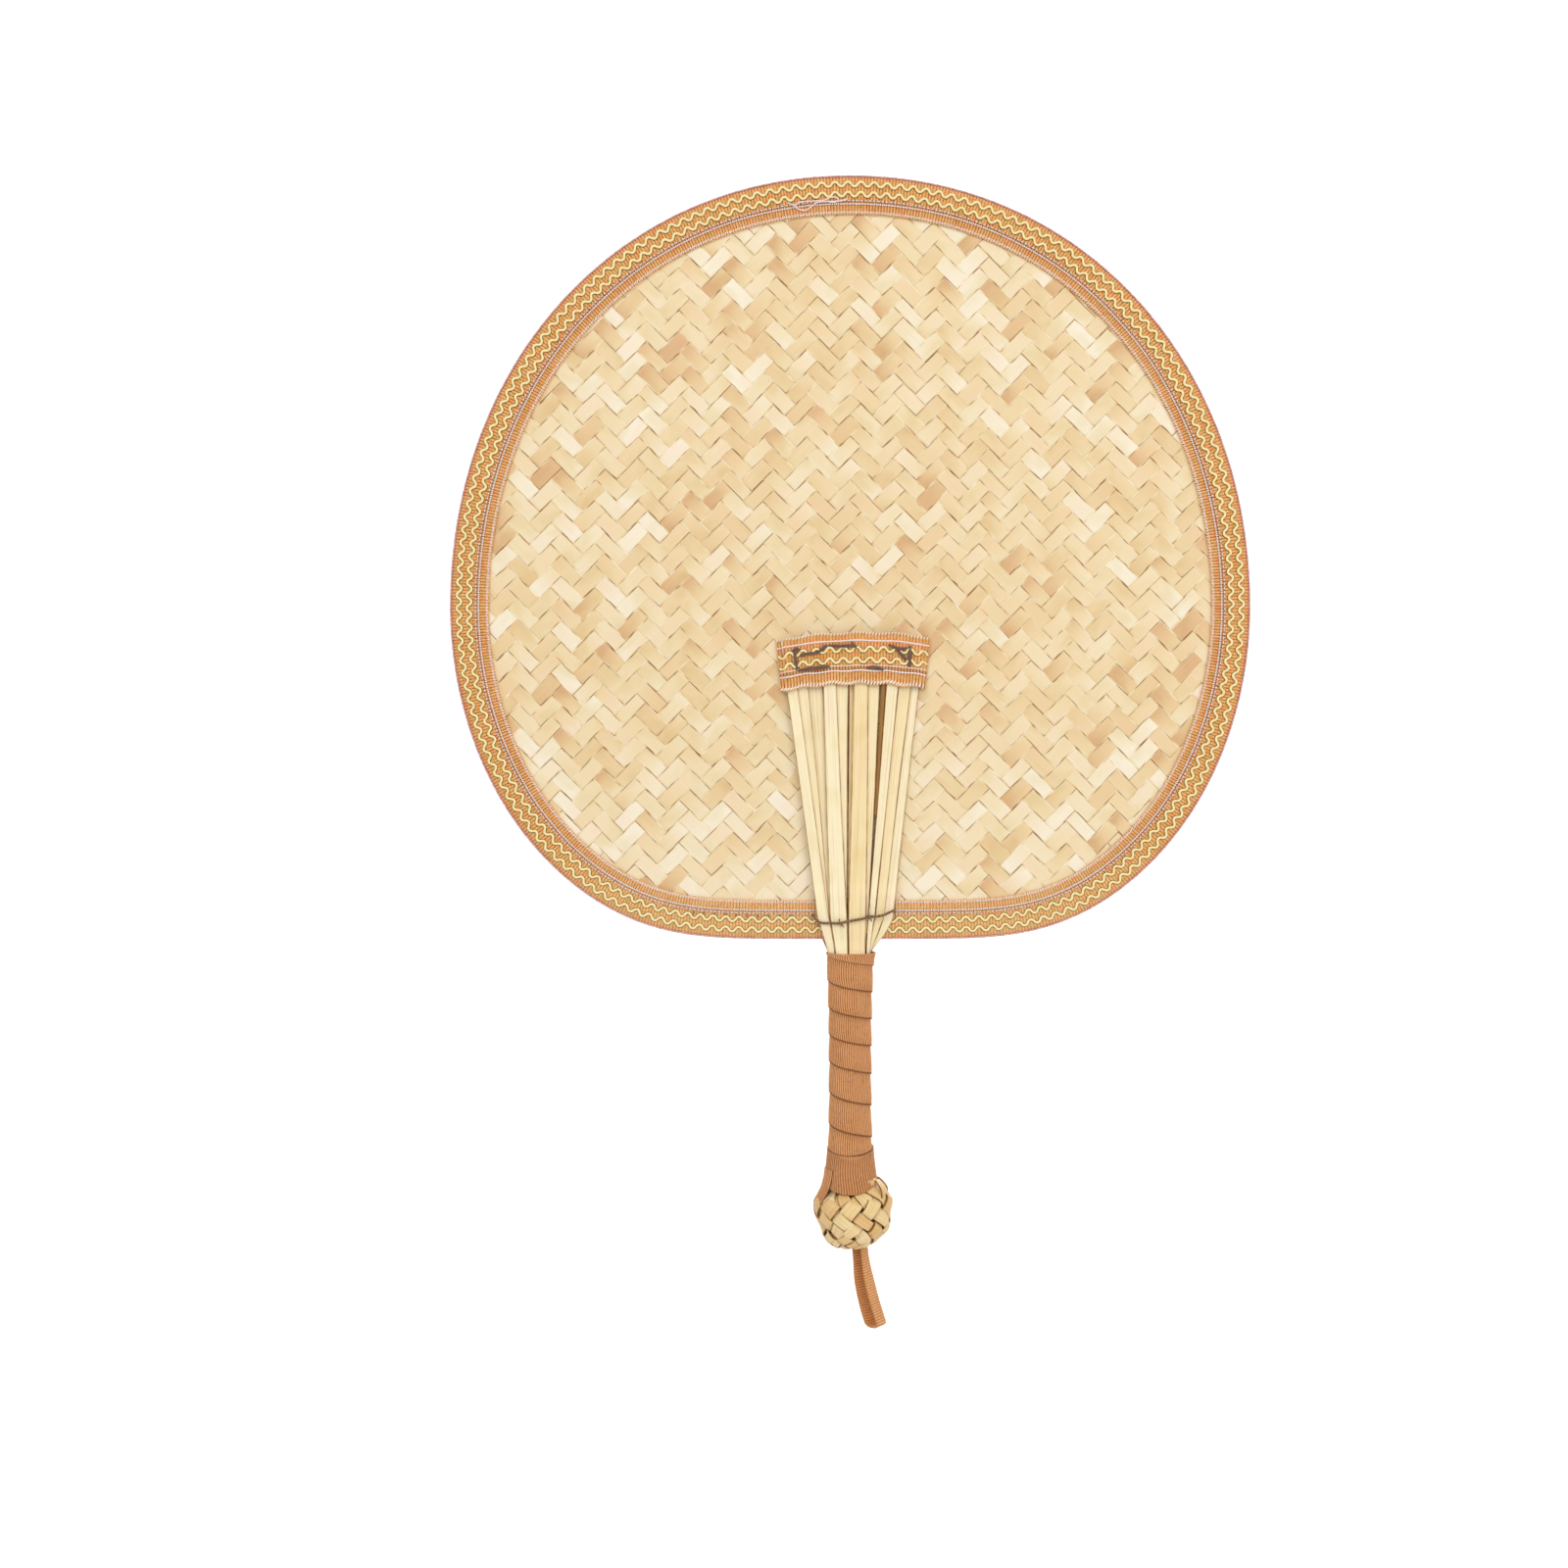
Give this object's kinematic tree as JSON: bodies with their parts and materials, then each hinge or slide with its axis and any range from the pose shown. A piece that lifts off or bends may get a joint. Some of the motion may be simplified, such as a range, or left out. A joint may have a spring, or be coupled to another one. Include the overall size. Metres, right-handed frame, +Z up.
{
  "type": "woven straw hand fan",
  "caption": "Round hand fan of twill-woven straw with a sewn ribbon rim, splayed straw splints, a ribbon-wound grip, a plaited knob and a hanging loop.",
  "frame": {"origin": "middle of the grip, where a hand holds the fan", "axes": "+Z up along the handle to the top of the blade, +X to the right as the front is seen, +Y to the back, the front face towards -Y"},
  "size_m": [0.2506, 0.023, 0.3608],
  "materials": {
    "woven_straw": "satin split straw, woven",
    "split_straw": "satin split straw",
    "plaited_straw": "satin split straw, plaited",
    "reed": "matt brown reed",
    "trim_ribbon": "ribbed trim ribbon",
    "grosgrain": "ribbed grosgrain ribbon",
    "twine": "twisted twine"
  },
  "bodies": {
    "fan": {"woven_panel": "woven_straw", "rim_binding": "trim_ribbon", "core_reed": "reed", "handle_core": "reed", "cross_band_front": "trim_ribbon", "cross_band_back": "trim_ribbon", "tie_cord": "twine", "grip_wrap": "grosgrain", "knob_core": "reed", "loop_anchor": "grosgrain", "wrap_tail": "grosgrain", "front_splint_01": "split_straw", "front_splint_02": "split_straw", "front_splint_03": "split_straw", "front_splint_04": "split_straw", "front_splint_05": "split_straw", "front_splint_06": "split_straw", "front_splint_07": "split_straw", "front_splint_08": "split_straw", "front_splint_09": "split_straw", "front_splint_10": "split_straw", "front_splint_11": "split_straw", "back_splint_01": "split_straw", "back_splint_02": "split_straw", "back_splint_03": "split_straw", "back_splint_04": "split_straw", "back_splint_05": "split_straw", "back_splint_06": "split_straw", "back_splint_07": "split_straw", "back_splint_08": "split_straw", "back_splint_09": "split_straw", "back_splint_10": "split_straw", "back_splint_11": "split_straw", "back_splint_12": "split_straw", "knob_strip_right_01": "plaited_straw", "knob_strip_right_02": "plaited_straw", "knob_strip_right_03": "plaited_straw", "knob_strip_right_04": "plaited_straw", "knob_strip_right_05": "plaited_straw", "knob_strip_right_06": "plaited_straw", "knob_strip_right_07": "plaited_straw", "knob_strip_right_08": "plaited_straw", "knob_strip_right_09": "plaited_straw", "knob_strip_right_10": "plaited_straw", "knob_strip_left_01": "plaited_straw", "knob_strip_left_02": "plaited_straw", "knob_strip_left_03": "plaited_straw", "knob_strip_left_04": "plaited_straw", "knob_strip_left_05": "plaited_straw", "knob_strip_left_06": "plaited_straw", "knob_strip_left_07": "plaited_straw", "knob_strip_left_08": "plaited_straw", "knob_strip_left_09": "plaited_straw", "knob_strip_left_10": "plaited_straw"},
    "loop": {"hanging_loop": "grosgrain"}
  },
  "joints": [
    {"name": "loop_swing", "type": "hinge", "parent": "fan", "child": "loop", "pos_m": [0.0017, 0, -0.05761], "axis": [0.6287, 0.766, 0.1336], "range_deg": [-60, 60]}
  ]
}
